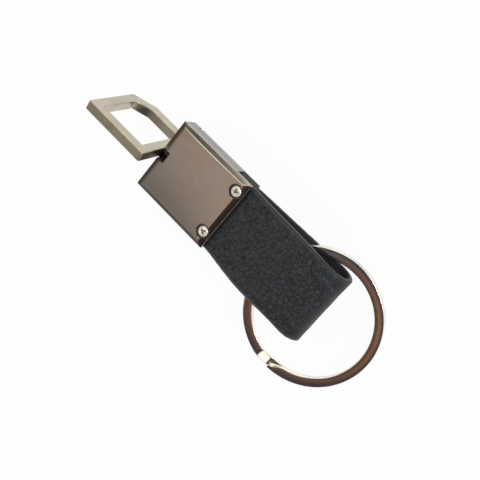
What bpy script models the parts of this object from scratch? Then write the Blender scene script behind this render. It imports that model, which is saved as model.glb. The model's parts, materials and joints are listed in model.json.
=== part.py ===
"""A leather key fob, in metres with +Z up.

Two metal shells, held by two screws, clamp a folded leather strap. A frame hook swivels on
the housing's far end, and a split key ring turns through the leather loop.
The origin is the middle of the housing's flat back. +X points to the hook, and +Y to the
left of someone who looks at the face with the hook up.
"""

import math

import bmesh
import bpy
from mathutils import Matrix, Vector

# Clearances
FIT_GAP = 0.0003
SEAM_GAP = 0.0002
HEAD_SEAT_GAP = 0.0002
RING_PLAY = 0.00046
OVERRUN = 0.0010

# Leather strap
STRAP_WIDTH = 0.0186
STRAP_THICKNESS = 0.0014
STRAP_EDGE_ROUND = 0.0003
STRAP_SHOULDER = 0.0005
STRAP_MARGIN = 0.0002
TAB_SPLIT = 0.0003
TAB_LENGTH = 0.0047
LOOP_LENGTH = 0.0302
LOOP_BEND_RADIUS = 0.00445
FLANK_STEPS = 6
BEND_STEPS = 22

# Housing
HOUSING_LENGTH = 0.0222
FACE_PLATE = 0.0012
BACK_PLATE = 0.0011
SIDE_WALL = 0.0009
HOOK_END_WALL = 0.0022
EDGE_ROUND = 0.0011
EDGE_ROUND_STEPS = 4
LEATHER_EDGE_ROUND = 0.0016
SLOT_SILL = 0.0019
STOP_RIB = 0.0009
NOTCH_WIDTH = 0.0030
PRY_NOTCH_LENGTH = 0.0014
PRY_NOTCH_HEIGHT = 0.0022
PRY_NOTCH_DEPTH = 0.0008

# Screws
SCREW_SIDE_SETBACK = 0.00335
SCREW_END_SETBACK = 0.0021
SCREW_HEAD_RADIUS = 0.00125
SCREW_HEAD_HEIGHT = 0.00045
SCREW_HEAD_SUNK = 0.0001
COUNTERBORE_PLAY = 0.00045
THREAD_RADIUS = 0.0007
BOSS_WALL = 0.0004
BORE_FLOOR = 0.0006
RECESS_WIDTH = 0.0004
RECESS_LENGTH = 0.0015
RECESS_DEPTH = 0.00025

# Hook and its swivel
HOOK_SQUARE_SIDE = 0.0095
HOOK_CUT_SIDE = 0.0099
HOOK_LENGTH = 0.0186
HOOK_BAR = 0.0026
HOOK_THICKNESS = 0.0026
HOOK_CHAMFER_WIDTH = 0.0034
HOOK_CHAMFER_LENGTH = 0.0058
HOOK_EDGE_ROUND = 0.0002
HOOK_TURN = math.radians(77.1)
NECK_RADIUS = 0.0011
STUD_HEAD_RADIUS = 0.0019
STUD_HEAD_THICKNESS = 0.0012
SPIGOT_RADIUS = 0.0006
SPIGOT_LENGTH = 0.0016
WASHER_THICKNESS = 0.0004

# Split ring
RING_RADIUS = 0.0160
RING_BAND = 0.0021
WIRE_THICKNESS = 0.00095
WIRE_EDGE_ROUND = 0.0002
COIL_GAP = 0.00042
RING_OFFSET = 0.00325
RING_TILT = math.radians(6.3)
RING_LEAN = math.radians(1.2)
CROSSOVER_START = math.radians(75)
CROSSOVER_SWEEP = math.radians(15)
LOWER_END_SETBACK = math.radians(21)
RING_STEPS = 96

ROUND_STEPS = 32
SMOOTH_ANGLE = math.radians(35)

# Heights and places that follow from the values above
HOUSING_WIDTH = STRAP_WIDTH + 2 * STRAP_MARGIN
LEATHER_HALF = STRAP_THICKNESS + TAB_SPLIT / 2
MID_HEIGHT = BACK_PLATE + FIT_GAP + LEATHER_HALF
PLATE_UNDERSIDE = MID_HEIGHT + LEATHER_HALF + FIT_GAP
HOUSING_HEIGHT = PLATE_UNDERSIDE + FACE_PLATE
LEATHER_END = -HOUSING_LENGTH / 2
HOOK_END = HOUSING_LENGTH / 2
WALL_INSIDE = HOOK_END - HOOK_END_WALL
INNER_HALF_WIDTH = HOUSING_WIDTH / 2 - SIDE_WALL
TAB_INNER_END = LEATHER_END + TAB_LENGTH
COUNTERBORE_RADIUS = SCREW_HEAD_RADIUS + COUNTERBORE_PLAY
BORE_RADIUS = THREAD_RADIUS + FIT_GAP
BOSS_RADIUS = BORE_RADIUS + BOSS_WALL
SCREW_X = LEATHER_END + SCREW_END_SETBACK
SCREW_Y = HOUSING_WIDTH / 2 - SCREW_SIDE_SETBACK
SEAT_RADIUS = NECK_RADIUS + FIT_GAP
POCKET_RADIUS = STUD_HEAD_RADIUS + FIT_GAP
STUD_NECK_START = WALL_INSIDE - FIT_GAP - WASHER_THICKNESS - FIT_GAP
STUD_HEAD_START = STUD_NECK_START - STUD_HEAD_THICKNESS
POCKET_START = STUD_HEAD_START - FIT_GAP


def material(name, colour, roughness, metallic):
    made = bpy.data.materials.new(name)
    made.use_nodes = True
    shader = made.node_tree.nodes["Principled BSDF"]
    shader.inputs["Base Color"].default_value = (*colour, 1)
    shader.inputs["Roughness"].default_value = roughness
    shader.inputs["Metallic"].default_value = metallic
    return made


def piece(name, mesh_data, finish=None, parent=None):
    """Turns a bmesh into an object of the scene. Without a finish it is a cutter."""
    bmesh.ops.recalc_face_normals(mesh_data, faces=mesh_data.faces)
    mesh = bpy.data.meshes.new(name)
    mesh_data.to_mesh(mesh)
    mesh_data.free()
    obj = bpy.data.objects.new(name, mesh)
    bpy.context.scene.collection.objects.link(obj)
    obj.parent = parent
    if finish is None:
        obj.hide_render = True
        obj.display_type = "WIRE"
    else:
        mesh.materials.append(finish)
        mesh.shade_smooth()
        mesh.set_sharp_from_angle(angle=SMOOTH_ANGLE)
    return obj


def block(x_range, y_range, z_range):
    """A box between the two ends of each range."""
    made = bmesh.new()
    bmesh.ops.create_cube(made, size=1)
    for vert in made.verts:
        ends = zip(vert.co, (x_range, y_range, z_range))
        vert.co = [pair[1] if place > 0 else pair[0] for place, pair in ends]
    return made


def turned(profile, axis, centre):
    """A solid turned round an axis ("X" or "Z") from (along, radius) points of a closed outline."""
    made = bmesh.new()
    rings = []
    for along, radius in profile:
        steps = ROUND_STEPS if radius > 0 else 1
        ring = []
        for step in range(steps):
            angle = 2 * math.pi * step / ROUND_STEPS
            across = (radius * math.cos(angle), radius * math.sin(angle))
            local = (along, *across) if axis == "X" else (*across, along)
            ring.append(made.verts.new(Vector(centre) + Vector(local)))
        rings.append(ring)
    closed = profile[0][1] > 0
    pairs = list(zip(rings, rings[1:] + rings[:1] if closed else rings[1:]))
    for first, second in pairs:
        for step in range(ROUND_STEPS):
            after = step + 1
            corners = [
                first[step % len(first)],
                first[after % len(first)],
                second[after % len(second)],
                second[step % len(second)],
            ]
            made.faces.new(list(dict.fromkeys(corners)))
    return made


def rod(axis, centre, start, end, radius):
    """A plain cylinder between two places along an axis."""
    return turned([(start, 0), (start, radius), (end, radius), (end, 0)], axis, centre)


def prism(outline, axis, start, end):
    """An outline extruded along "Y" (outline in X and Z) or "Z" (outline in X and Y)."""
    made = bmesh.new()
    layers = []
    for along in (start, end):
        points = [(u, along, v) if axis == "Y" else (u, v, along) for u, v in outline]
        layers.append([made.verts.new(point) for point in points])
    made.faces.new(layers[0])
    made.faces.new(layers[1])
    count = len(outline)
    for step in range(count):
        after = (step + 1) % count
        made.faces.new((layers[0][step], layers[0][after], layers[1][after], layers[1][step]))
    return made


def loft(sections):
    """A solid through equal sections, with a flat cap at each end."""
    made = bmesh.new()
    rings = [[made.verts.new(point) for point in section] for section in sections]
    made.faces.new(rings[0])
    made.faces.new(rings[-1])
    for first, second in zip(rings, rings[1:]):
        for step in range(len(first)):
            after = (step + 1) % len(first)
            made.faces.new((first[step], first[after], second[after], second[step]))
    return made


def chamfered_section(half_u, half_v, chamfer):
    """The eight corners of a rectangle whose corners are cut off."""
    return [
        (half_u, -half_v + chamfer),
        (half_u, half_v - chamfer),
        (half_u - chamfer, half_v),
        (-half_u + chamfer, half_v),
        (-half_u, half_v - chamfer),
        (-half_u, -half_v + chamfer),
        (-half_u + chamfer, -half_v),
        (half_u - chamfer, -half_v),
    ]


def boolean(target, other, operation="DIFFERENCE"):
    modifier = target.modifiers.new(other.name, "BOOLEAN")
    modifier.operation = operation
    modifier.solver = "EXACT"
    modifier.object = other


def round_flat_edges(mesh_data, height):
    """Rounds the four edges that lie at one height, as the dome of a stamped lid."""
    edges = [e for e in mesh_data.edges if all(abs(v.co.z - height) < SEAM_GAP for v in e.verts)]
    bmesh.ops.bevel(
        mesh_data,
        geom=edges,
        offset=EDGE_ROUND,
        segments=EDGE_ROUND_STEPS,
        profile=0.5,
        affect="EDGES",
    )


def screw_sides():
    return {"left": SCREW_Y, "right": -SCREW_Y}


def mid_line():
    return (0, 0, MID_HEIGHT)


def front_cover(finish):
    """The face: a domed lid with side skirts, two counterbores and the swivel's open notch."""
    bottom = MID_HEIGHT + SEAM_GAP / 2
    half = HOUSING_WIDTH / 2
    lid = block((LEATHER_END, HOOK_END), (-half, half), (bottom, HOUSING_HEIGHT))
    round_flat_edges(lid, HOUSING_HEIGHT)
    # The rounding runs further in over the leather's end than over the other three sides
    for vert in lid.verts:
        inward = vert.co.x - LEATHER_END
        if inward < 2 * EDGE_ROUND:
            vert.co.x = LEATHER_END + inward * LEATHER_EDGE_ROUND / EDGE_ROUND
    cover = piece("front_cover", lid, finish)
    inside = block(
        (LEATHER_END - OVERRUN, WALL_INSIDE),
        (-INNER_HALF_WIDTH, INNER_HALF_WIDTH),
        (bottom - OVERRUN, PLATE_UNDERSIDE),
    )
    boolean(cover, piece("cut_cover_inside", inside))
    notch = block(
        (WALL_INSIDE - OVERRUN, HOOK_END + OVERRUN),
        (-NOTCH_WIDTH / 2, NOTCH_WIDTH / 2),
        (bottom - OVERRUN, HOUSING_HEIGHT + OVERRUN),
    )
    for vert in notch.verts:
        if vert.co.x < WALL_INSIDE:
            vert.co.x = WALL_INSIDE
    boolean(cover, piece("cut_cover_notch", notch))
    pocket = rod("X", mid_line(), POCKET_START, WALL_INSIDE, POCKET_RADIUS)
    boolean(cover, piece("cut_cover_pocket", pocket))
    counterbore_floor = HOUSING_HEIGHT - SCREW_HEAD_SUNK - SCREW_HEAD_HEIGHT - HEAD_SEAT_GAP
    for side, y in screw_sides().items():
        centre = (SCREW_X, y, 0)
        sink = rod("Z", centre, counterbore_floor, HOUSING_HEIGHT + OVERRUN, COUNTERBORE_RADIUS)
        boolean(cover, piece("cut_counterbore_" + side, sink))
        hole = rod("Z", centre, bottom, HOUSING_HEIGHT, BORE_RADIUS)
        boolean(cover, piece("cut_screw_hole_" + side, hole))
    return cover


def back_shell(finish):
    """The tray behind: side walls, a rib that stops the strap, two bosses and the stud's seat."""
    top = MID_HEIGHT - SEAM_GAP / 2
    half = HOUSING_WIDTH / 2
    tray = block((LEATHER_END, HOOK_END), (-half, half), (0, top))
    round_flat_edges(tray, 0)
    shell = piece("back_shell", tray, finish)
    rib_start = TAB_INNER_END + FIT_GAP
    bays = {
        "tab_bay": (LEATHER_END - OVERRUN, rib_start),
        "swivel_bay": (rib_start + STOP_RIB, WALL_INSIDE),
    }
    for bay, x_range in bays.items():
        inside = block(x_range, (-INNER_HALF_WIDTH, INNER_HALF_WIDTH), (BACK_PLATE, top + OVERRUN))
        boolean(shell, piece("cut_" + bay, inside))
    slot = block(
        (LEATHER_END - OVERRUN, TAB_INNER_END),
        (-half - OVERRUN, half + OVERRUN),
        (SLOT_SILL, top + OVERRUN),
    )
    boolean(shell, piece("cut_side_slot", slot))
    for side, y in screw_sides().items():
        centre = (SCREW_X, y, 0)
        boss = rod("Z", centre, BACK_PLATE / 2, PLATE_UNDERSIDE - FIT_GAP, BOSS_RADIUS)
        boolean(shell, piece("boss_" + side, boss), "UNION")
        bore = rod("Z", centre, BORE_FLOOR, HOUSING_HEIGHT, BORE_RADIUS)
        boolean(shell, piece("cut_bore_" + side, bore))
    pocket = rod("X", mid_line(), POCKET_START, WALL_INSIDE, POCKET_RADIUS)
    boolean(shell, piece("cut_shell_pocket", pocket))
    seat = rod("X", mid_line(), WALL_INSIDE - OVERRUN, HOOK_END + OVERRUN, SEAT_RADIUS)
    boolean(shell, piece("cut_neck_seat", seat))
    pry_start = WALL_INSIDE - PRY_NOTCH_LENGTH
    outline = [(pry_start, -OVERRUN), (WALL_INSIDE, -OVERRUN), (WALL_INSIDE, PRY_NOTCH_HEIGHT)]
    pry = prism(outline, "Y", -half - OVERRUN, -half + PRY_NOTCH_DEPTH)
    boolean(shell, piece("cut_pry_notch", pry))
    return shell


def screw(side, y, finish):
    """A small pan-head screw with a cross recess, its origin on its own axis."""
    head_top = HOUSING_HEIGHT - SCREW_HEAD_SUNK
    head_base = head_top - SCREW_HEAD_HEIGHT
    tip = BORE_FLOOR + FIT_GAP
    shoulder_share = 0.62
    crown_share = 0.45
    profile = [
        (tip, 0),
        (tip, THREAD_RADIUS / 2),
        (tip + THREAD_RADIUS / 2, THREAD_RADIUS),
        (head_base, THREAD_RADIUS),
        (head_base, SCREW_HEAD_RADIUS),
        (head_base + crown_share * SCREW_HEAD_HEIGHT, SCREW_HEAD_RADIUS),
        (head_base + 2 * crown_share * SCREW_HEAD_HEIGHT, shoulder_share * SCREW_HEAD_RADIUS),
        (head_top, 0),
    ]
    made = piece("screw_" + side, turned(profile, "Z", (0, 0, 0)), finish)
    made.location = (SCREW_X, y, 0)
    long_half = RECESS_LENGTH / 2
    short_half = RECESS_WIDTH / 2
    for index, halves in enumerate(((long_half, short_half), (short_half, long_half))):
        ranges = [(-value, value) for value in halves]
        slot = block(*ranges, (head_top - RECESS_DEPTH, head_top + OVERRUN))
        cutter = piece("cut_recess_" + side + str(index), slot)
        cutter.location = made.location
        boolean(made, cutter)
    return made


def loop_flank():
    """The bend's centreline radius, the bend's distance from the housing and the flank's angle."""
    bend = LOOP_BEND_RADIUS - STRAP_THICKNESS / 2
    reach = LOOP_LENGTH - LOOP_BEND_RADIUS
    start = LEATHER_HALF - STRAP_THICKNESS / 2
    # The flank leaves the housing at height start and touches the bend's circle
    distance = math.hypot(reach, start)
    angle = math.asin(bend / distance) - math.atan2(start, reach)
    return bend, reach, start, angle


def strap_path():
    """(distance beyond the housing, height over the middle, direction) along the upper half."""
    bend, reach, start, angle = loop_flank()
    points = [(-TAB_LENGTH, start, 0), (0, start, angle / 2)]
    flank_end = reach - bend * math.sin(angle)
    flank = [FIT_GAP]
    for step in range(FLANK_STEPS + 1):
        flank.append(STRAP_SHOULDER + (flank_end - STRAP_SHOULDER) * step / FLANK_STEPS)
    points += [(along, start + along * math.tan(angle), angle) for along in flank]
    for step in range(1, BEND_STEPS // 2 + 1):
        turn = angle - (math.pi / 2 + angle) * step / (BEND_STEPS // 2)
        points.append((reach - bend * math.sin(turn), bend * math.cos(turn), turn))
    return points


def leather_strap(finish):
    """One strip folded into a drop-shaped loop, its two narrowed ends inside the housing."""
    upper = strap_path()
    lower = [(along, -height, math.pi - turn) for along, height, turn in reversed(upper[:-1])]
    sections = []
    for along, height, turn in upper + lower:
        width = STRAP_WIDTH if along >= STRAP_SHOULDER else 2 * (INNER_HALF_WIDTH - FIT_GAP)
        corners = chamfered_section(width / 2, STRAP_THICKNESS / 2, STRAP_EDGE_ROUND)
        normal = (math.sin(turn), math.cos(turn))
        section = []
        for across, out in corners:
            x = LEATHER_END - along + out * normal[0]
            section.append((x, across, MID_HEIGHT + height + out * normal[1]))
        sections.append(section)
    strap = piece("leather_strap", loft(sections), finish)
    for side, y in screw_sides().items():
        centre = (SCREW_X, y, 0)
        hole = rod("Z", centre, 0, HOUSING_HEIGHT, BOSS_RADIUS + FIT_GAP)
        boolean(strap, piece("cut_strap_hole_" + side, hole))
    return strap


def hook_outline(inset):
    """The hook's five corners, lying flat, drawn in by the inset on every side.

    Its square side and the side with the cut corner lie at unlike distances from the stud.
    """
    near = HOOK_END + FIT_GAP + inset
    far = HOOK_END + FIT_GAP + HOOK_LENGTH - inset
    square_side = HOOK_SQUARE_SIDE - inset
    cut_side = HOOK_CUT_SIDE - inset
    # The slanted side moves in square to itself, which shortens its two cuts
    slant = math.hypot(HOOK_CHAMFER_LENGTH, HOOK_CHAMFER_WIDTH)
    ends = HOOK_CHAMFER_LENGTH + HOOK_CHAMFER_WIDTH
    cut_share = 1 - inset * (ends - slant) / (HOOK_CHAMFER_LENGTH * HOOK_CHAMFER_WIDTH)
    return [
        (near, -cut_side),
        (far - cut_share * HOOK_CHAMFER_LENGTH, -cut_side),
        (far, -cut_side + cut_share * HOOK_CHAMFER_WIDTH),
        (far, square_side),
        (near, square_side),
    ]


def hook_frame(finish, axle):
    """The five-sided frame, cast in one piece, with a blind socket for the stud."""
    made = bmesh.new()
    loops = []
    for height in (-HOOK_THICKNESS / 2, HOOK_THICKNESS / 2):
        for inset in (0, HOOK_BAR):
            points = [(x, y, height) for x, y in hook_outline(inset)]
            loops.append([made.verts.new(point) for point in points])
    low_outer, low_inner, high_outer, high_inner = loops
    walls = (
        (low_outer, low_inner),
        (low_inner, high_inner),
        (high_inner, high_outer),
        (high_outer, low_outer),
    )
    for first, second in walls:
        for step in range(len(first)):
            after = (step + 1) % len(first)
            made.faces.new((first[step], first[after], second[after], second[step]))
    frame = piece("hook_frame", made, finish, axle)
    bevel = frame.modifiers.new("soft edges", "BEVEL")
    bevel.width = HOOK_EDGE_ROUND
    bevel.segments = 2
    bevel.limit_method = "ANGLE"
    bevel.angle_limit = SMOOTH_ANGLE
    socket_start = HOOK_END + FIT_GAP - OVERRUN
    socket_end = HOOK_END + SPIGOT_LENGTH + FIT_GAP
    socket = rod("X", (0, 0, 0), socket_start, socket_end, SPIGOT_RADIUS + FIT_GAP)
    boolean(frame, piece("cut_stud_socket", socket, None, axle))
    return frame


def swivel_stud(finish, axle):
    """The turned pin that holds the hook: a head inside, a neck in its seat, a thin spigot."""
    profile = [
        (STUD_HEAD_START, 0),
        (STUD_HEAD_START, STUD_HEAD_RADIUS),
        (STUD_NECK_START, STUD_HEAD_RADIUS),
        (STUD_NECK_START, NECK_RADIUS),
        (HOOK_END, NECK_RADIUS),
        (HOOK_END, SPIGOT_RADIUS),
        (HOOK_END + SPIGOT_LENGTH, SPIGOT_RADIUS),
        (HOOK_END + SPIGOT_LENGTH, 0),
    ]
    return piece("swivel_stud", turned(profile, "X", (0, 0, 0)), finish, axle)


def thrust_washer(finish, axle):
    """The thin ring between the stud's head and the housing's end wall."""
    start = STUD_NECK_START + FIT_GAP
    end = start + WASHER_THICKNESS
    bore = NECK_RADIUS + FIT_GAP
    corners = [(start, bore), (start, STUD_HEAD_RADIUS), (end, STUD_HEAD_RADIUS), (end, bore)]
    return piece("thrust_washer", turned(corners, "X", (0, 0, 0)), finish, axle)


def ring_place():
    """The key ring's centre. Its near edge lies where the loop is just high enough for it."""
    bend, reach, start, angle = loop_flank()
    half_height = WIRE_THICKNESS + COIL_GAP / 2
    inside = TAB_SPLIT / 2
    near_edge = (half_height + RING_PLAY - inside) / math.tan(angle)
    middle = RING_RADIUS - RING_BAND / 2
    return Vector(
        (
            LEATHER_END - near_edge - RING_RADIUS * math.cos(RING_TILT),
            RING_OFFSET,
            MID_HEIGHT - middle * math.sin(RING_TILT),
        )
    )


def coil_height(wound):
    """The wire's height over the ring's middle plane, after it has wound so far."""
    level = (WIRE_THICKNESS + COIL_GAP) / 2
    drop_start = 2 * math.pi - CROSSOVER_SWEEP
    share = min(max((wound - drop_start) / CROSSOVER_SWEEP, 0), 1)
    return level * (1 - 2 * share * share * (3 - 2 * share))


def least_gap(sections):
    """The least distance between the wire's points and those about one turn further on."""
    near = range(RING_STEPS - 2, RING_STEPS + 3)
    pairs = ((first, first + turn) for first in range(len(sections)) for turn in near)
    return min(
        (one - other).length
        for first, second in pairs
        if second < len(sections)
        for one in sections[first]
        for other in sections[second]
    )


def split_ring(finish, axle):
    """Two turns of flat wire: one above, a short slanted crossing, and one below."""
    step_angle = 2 * math.pi / RING_STEPS
    count = round((4 * math.pi - CROSSOVER_SWEEP - LOWER_END_SETBACK) / step_angle)
    corners = chamfered_section(RING_BAND / 2, WIRE_THICKNESS / 2, WIRE_EDGE_ROUND)
    middle = RING_RADIUS - RING_BAND / 2
    sections = []
    for step in range(count + 1):
        wound = step * step_angle
        angle = CROSSOVER_START + CROSSOVER_SWEEP + wound
        height = coil_height(wound)
        points = []
        for outward, up in corners:
            radius = middle + outward
            across = (radius * math.cos(angle), radius * math.sin(angle))
            points.append(Vector((*across, height + up)))
        sections.append(points)
    print("split ring: least gap between its turns, mm:", round(1000 * least_gap(sections), 3))
    return piece("split_ring", loft(sections), finish, axle)


def empty(name, location, turn):
    made = bpy.data.objects.new(name, None)
    bpy.context.scene.collection.objects.link(made)
    made.matrix_world = Matrix.Translation(location) @ turn
    return made


def main():
    for obj in list(bpy.data.objects):
        bpy.data.objects.remove(obj)
    gunmetal = material("gunmetal", (0.19, 0.17, 0.155), 0.12, 1)
    shell_gunmetal = material("shell_gunmetal", (0.19, 0.17, 0.16), 0.16, 1)
    screw_steel = material("screw_steel", (0.72, 0.68, 0.60), 0.25, 1)
    satin_nickel = material("satin_nickel", (0.56, 0.53, 0.47), 0.38, 1)
    stud_steel = material("stud_steel", (0.30, 0.29, 0.27), 0.35, 1)
    washer_steel = material("washer_steel", (0.45, 0.44, 0.42), 0.40, 1)
    ring_nickel = material("ring_nickel", (0.66, 0.62, 0.57), 0.12, 1)
    black_leather = material("black_leather", (0.035, 0.038, 0.042), 0.55, 0)

    front_cover(gunmetal)
    back_shell(shell_gunmetal)
    for side, y in screw_sides().items():
        screw(side, y, screw_steel)
    leather_strap(black_leather)

    swivel_axle = empty("swivel_axle", Vector(mid_line()), Matrix.Rotation(HOOK_TURN, 4, "X"))
    hook_frame(satin_nickel, swivel_axle)
    swivel_stud(stud_steel, swivel_axle)
    thrust_washer(washer_steel, swivel_axle)

    ring_turn = Matrix.Rotation(-RING_TILT, 4, "Y") @ Matrix.Rotation(RING_LEAN, 4, "X")
    ring_axle = empty("ring_axle", ring_place(), ring_turn)
    split_ring(ring_nickel, ring_axle)
    bpy.context.view_layer.update()
    print("ring centre, mm:", [round(1000 * value, 4) for value in ring_place()])
    print("ring axis:", [round(value, 6) for value in ring_turn.col[2][:3]])
    print("middle height, mm:", round(1000 * MID_HEIGHT, 4))


main()
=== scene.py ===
"""Leather keychain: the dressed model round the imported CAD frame, laid out as an add-on.

Metres, +Z up. The origin is the middle of the housing's flat back, +X points to the hook, and
+Y to the left of someone who looks at the face with the hook up.
"""

import json
import math

import bmesh
import bpy
from bpy.props import FloatProperty, FloatVectorProperty, IntProperty, PointerProperty
from bpy.types import Operator, Panel, PropertyGroup
from mathutils import Matrix, Vector, noise


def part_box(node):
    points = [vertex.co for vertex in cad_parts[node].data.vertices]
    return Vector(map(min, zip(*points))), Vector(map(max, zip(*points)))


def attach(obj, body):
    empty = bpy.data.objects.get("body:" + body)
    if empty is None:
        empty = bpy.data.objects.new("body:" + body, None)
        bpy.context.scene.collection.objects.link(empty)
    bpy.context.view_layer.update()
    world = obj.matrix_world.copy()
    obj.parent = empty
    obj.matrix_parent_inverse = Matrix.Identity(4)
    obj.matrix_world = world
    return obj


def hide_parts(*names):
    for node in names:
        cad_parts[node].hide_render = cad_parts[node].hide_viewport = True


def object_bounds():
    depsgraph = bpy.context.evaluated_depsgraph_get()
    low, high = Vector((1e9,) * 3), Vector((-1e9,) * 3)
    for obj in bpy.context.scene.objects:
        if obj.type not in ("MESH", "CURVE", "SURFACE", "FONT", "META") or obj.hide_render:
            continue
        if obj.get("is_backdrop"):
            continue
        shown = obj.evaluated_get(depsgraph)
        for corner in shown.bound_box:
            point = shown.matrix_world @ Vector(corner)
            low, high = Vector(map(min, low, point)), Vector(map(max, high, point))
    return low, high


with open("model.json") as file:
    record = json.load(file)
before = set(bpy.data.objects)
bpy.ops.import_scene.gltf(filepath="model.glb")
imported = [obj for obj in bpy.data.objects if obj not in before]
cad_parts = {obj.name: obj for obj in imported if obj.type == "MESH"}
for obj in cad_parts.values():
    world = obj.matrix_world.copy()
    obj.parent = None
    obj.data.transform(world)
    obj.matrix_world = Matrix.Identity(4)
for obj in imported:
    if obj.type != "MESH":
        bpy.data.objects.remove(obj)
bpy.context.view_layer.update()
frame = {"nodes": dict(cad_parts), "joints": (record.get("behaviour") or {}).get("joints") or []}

bl_info = {
    "name": "Leather Keychain",
    "version": (1, 0, 0),
    "blender": (4, 5, 0),
    "location": "3D View > Sidebar > Keychain",
    "description": "Builds a leather keychain with a swivelling frame hook and a split key ring",
    "category": "Add Mesh",
}

MM = 0.001
FIT_GAP = 0.0003
OVERRUN = 0.001
HALF_SEAM = 0.0001
STRAP_SPLIT = 0.0003
SLIVER = 0.00001
MERGE_DISTANCE = 1e-6
SMOOTH_ANGLE = math.radians(32)
STRAP_MAP = "strap_map"

COVER_LOW, COVER_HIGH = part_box("front_cover")
STRAP_LOW, STRAP_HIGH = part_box("leather_strap")
HALF_STRAP = (STRAP_HIGH.y - STRAP_LOW.y) / 2
WASHER_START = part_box("thrust_washer")[0].x
JOINTS = {joint["name"]: joint for joint in frame["joints"]}
SWIVEL_POINT = Vector(JOINTS["hook_swivel"]["pos_m"])
RING_CENTRE = Vector(JOINTS["key_ring_turn"]["pos_m"])
RING_AXIS = Vector(JOINTS["key_ring_turn"]["axis"])

LEATHER_END = COVER_LOW.x
HOOK_END = COVER_HIGH.x
HALF_WIDTH = COVER_HIGH.y
FACE_HEIGHT = COVER_HIGH.z
MID_HEIGHT = SWIVEL_POINT.z


# Meshes


def loft(layers, closed=False):
    """A solid through equal outlines, with a flat cap at each end unless it closes on itself."""
    made = bmesh.new()
    rings = [[made.verts.new(point) for point in layer] for layer in layers]
    if not closed:
        made.faces.new(rings[0])
        made.faces.new(rings[-1])
    count = len(layers[0])
    for first, second in zip(rings, rings[1:] + rings[:1] if closed else rings[1:]):
        for step in range(count):
            after = (step + 1) % count
            made.faces.new((first[step], first[after], second[after], second[step]))
    bmesh.ops.recalc_face_normals(made, faces=made.faces)
    return made


def box_mesh(x_range, y_range, z_range):
    """A box between the two ends of each range."""
    outline = [(x_range[i], y_range[j]) for i, j in ((0, 0), (1, 0), (1, 1), (0, 1))]
    return loft([[(x, y, z) for x, y in outline] for z in z_range])


def turned(profile, axis, centre, steps=64):
    """A solid turned round an axis ("X" or "Z") from (along, radius) points, end to end."""
    made = bmesh.new()
    rows = []
    for along, radius in profile:
        row = []
        for step in range(steps if radius > 0 else 1):
            angle = 2 * math.pi * step / steps
            across = (radius * math.cos(angle), radius * math.sin(angle))
            local = (along, *across) if axis == "X" else (*across, along)
            row.append(made.verts.new(Vector(centre) + Vector(local)))
        rows.append(row)
    for first, second in zip(rows, rows[1:]):
        for step in range(steps):
            corners = [
                row[place % len(row)]
                for row, place in ((first, step), (first, step + 1), (second, step + 1), (second, step))
            ]
            made.faces.new(list(dict.fromkeys(corners)))
    bmesh.ops.recalc_face_normals(made, faces=made.faces)
    return made


def softened(profile, radius, steps=4):
    """Rounds the inner corners of an open (along, radius) profile."""
    most_share = 0.45
    points = [Vector(point) for point in profile]
    result = [points[0]]
    for before, corner, after in zip(points, points[1:], points[2:]):
        back = before - corner
        on = after - corner
        reach = min(radius, back.length * most_share, on.length * most_share)
        start = corner + back.normalized() * reach
        end = corner + on.normalized() * reach
        for step in range(steps + 1):
            share = step / steps
            middle = corner * 2 * share * (1 - share)
            result.append(start * (1 - share) ** 2 + middle + end * share**2)
    return [tuple(point) for point in result + [points[-1]]]


def smooth(value, start, end):
    """Rises smoothly from 0 to 1 as the value goes from start to end."""
    share = min(max((value - start) / (end - start), 0), 1)
    return share * share * (3 - 2 * share)


def object_from(name, mesh_data):
    """A linked object that holds the bmesh."""
    mesh = bpy.data.meshes.new(name)
    mesh_data.to_mesh(mesh)
    mesh_data.free()
    obj = bpy.data.objects.new(name, mesh)
    bpy.context.scene.collection.objects.link(obj)
    return obj


def bake(obj):
    """Makes the object a plain mesh of what its modifiers give."""
    graph = bpy.context.evaluated_depsgraph_get()
    before = obj.data
    mesh = bpy.data.meshes.new_from_object(obj.evaluated_get(graph))
    obj.modifiers.clear()
    obj.data = mesh
    bpy.data.meshes.remove(before)
    mesh.name = obj.name
    if not mesh.polygons:
        raise RuntimeError(obj.name + " has no faces left")


def join_or_cut(obj, others):
    """Joins ("UNION") or cuts ("DIFFERENCE") each (operation, bmesh) in turn."""
    helpers = []
    for operation, mesh_data in others:
        helper = object_from(obj.name + "_helper", mesh_data)
        modifier = obj.modifiers.new("cut", "BOOLEAN")
        modifier.operation = operation
        modifier.solver = "EXACT"
        modifier.object = helper
        helpers.append(helper)
    bake(obj)
    for helper in helpers:
        mesh = helper.data
        bpy.data.objects.remove(helper)
        bpy.data.meshes.remove(mesh)


def finish_piece(obj, material, body, slot, *nodes, weighted=True, inner=None):
    """Smooths and paints a piece, ties it to its body and hides the nodes it stands for; slot is not used.

    inner is a second material and the test that says which faces get it.
    """
    mesh = obj.data
    mesh.materials.clear()
    mesh.materials.append(material)
    if inner:
        mesh.materials.append(inner[0])
    for face in mesh.polygons:
        face.material_index = 1 if inner and inner[1](face) else 0
    mesh.shade_smooth()
    mesh.set_sharp_from_angle(angle=SMOOTH_ANGLE)
    if weighted:
        modifier = obj.modifiers.new("flat faces stay flat", "WEIGHTED_NORMAL")
        modifier.keep_sharp = True
        modifier.weight = 80
        bake(obj)
    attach(obj, body)
    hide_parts(*nodes)


# Shader and geometry nodes


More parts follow.
